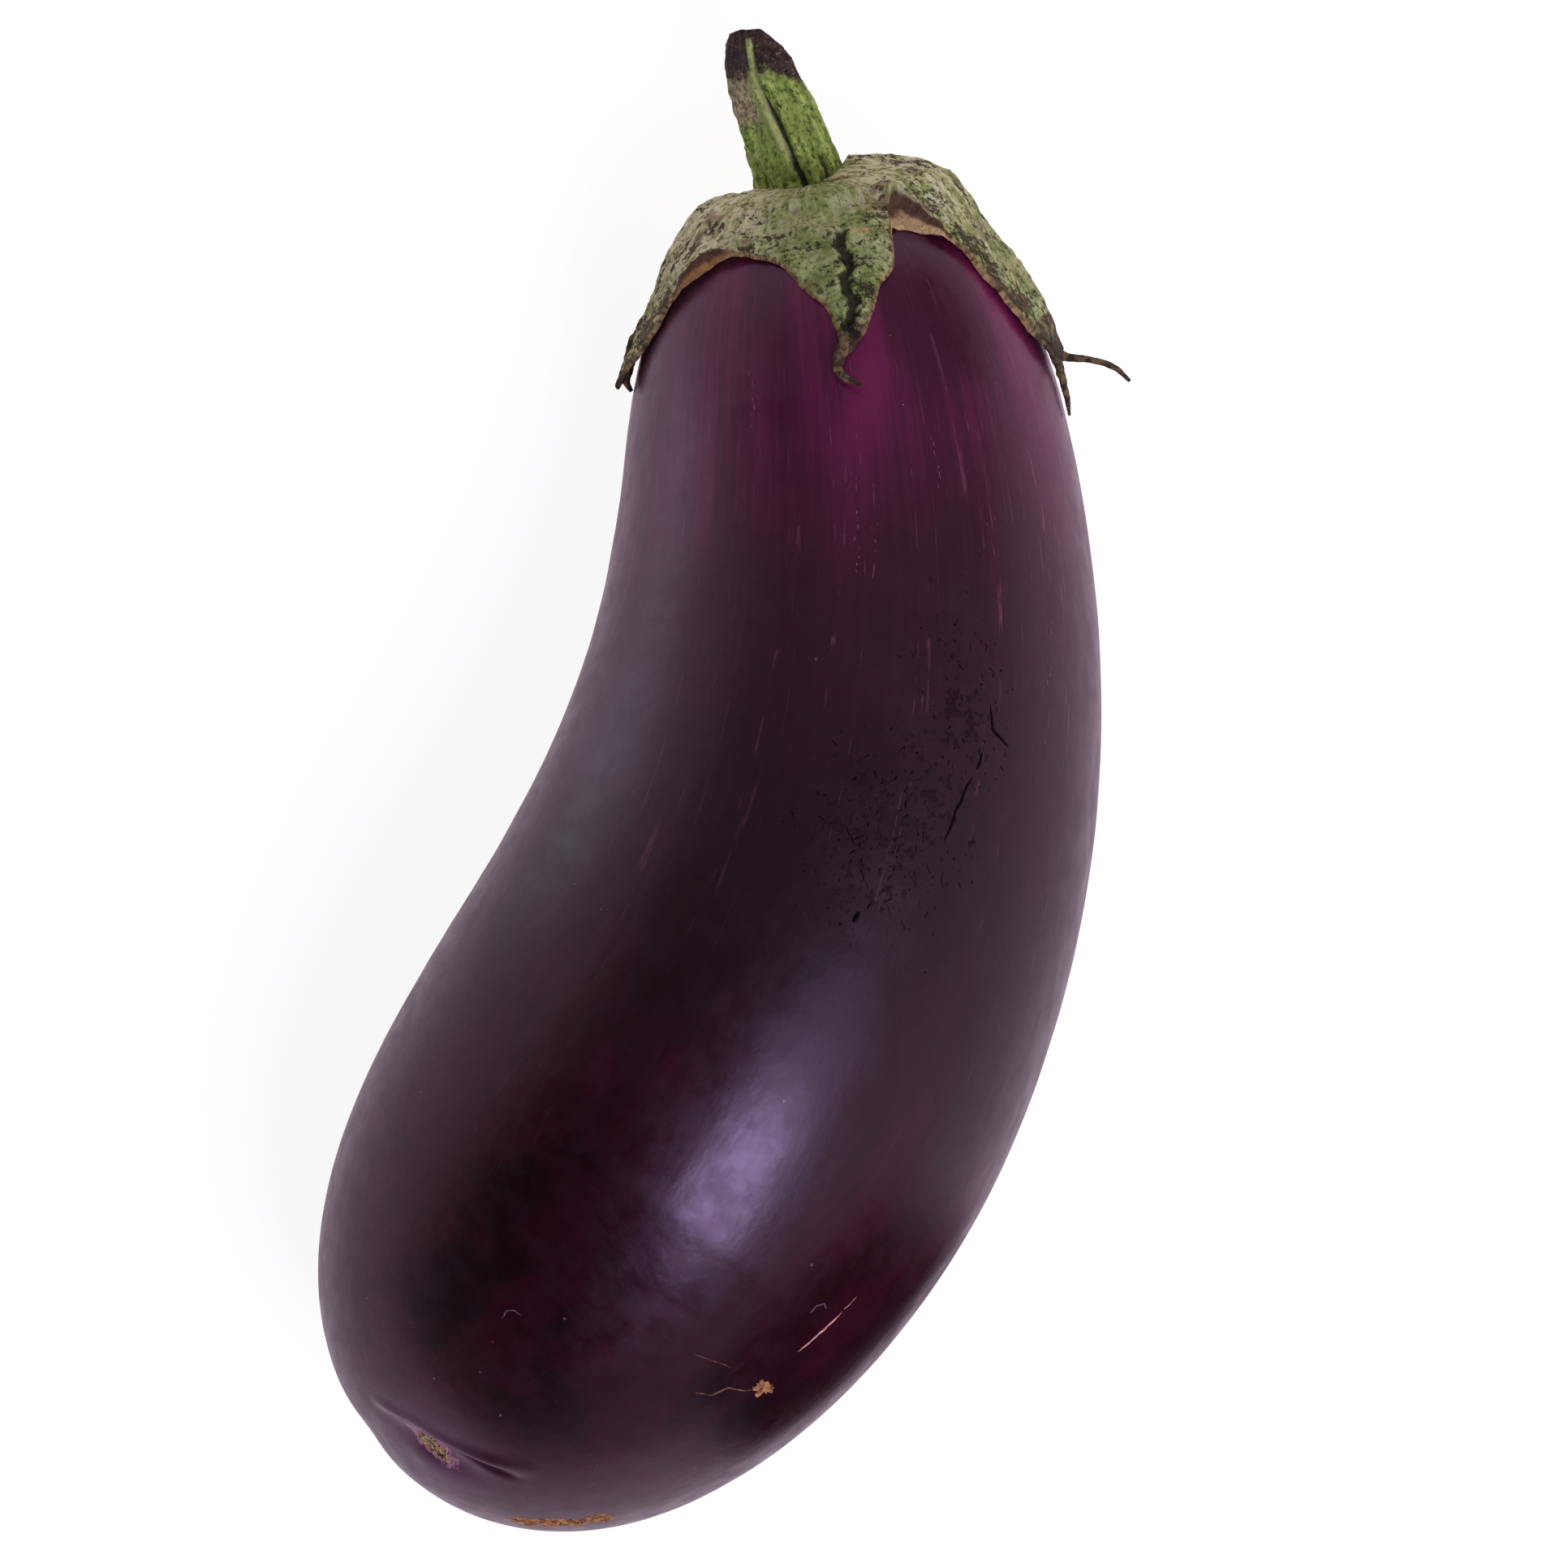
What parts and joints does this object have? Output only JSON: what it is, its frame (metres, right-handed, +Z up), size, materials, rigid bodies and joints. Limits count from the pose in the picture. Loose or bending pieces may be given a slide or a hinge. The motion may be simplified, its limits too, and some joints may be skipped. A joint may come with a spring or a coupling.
{
  "type": "eggplant",
  "caption": "Whole eggplant lying on its side: a glossy purple-black pear-shaped fruit with a green pointed calyx and a short cut stem.",
  "frame": {"origin": "middle of the bounding box on the surface that the eggplant rests on", "axes": "+Z up from the resting surface, +Y towards the stem end along the fruit's length, +X across it towards the outside of its bend"},
  "size_m": [0.1177, 0.2161, 0.0858],
  "materials": {
    "skin": "waxy gloss, purple-black, magenta under the calyx",
    "sepals": "matt, grey-green, downy, with brown dried rims",
    "stalk": "matt, ridged green, dried dark brown at the cut end"
  },
  "bodies": {
    "root": {"fruit": "skin", "calyx": "sepals", "stem": "stalk"}
  },
  "joints": []
}
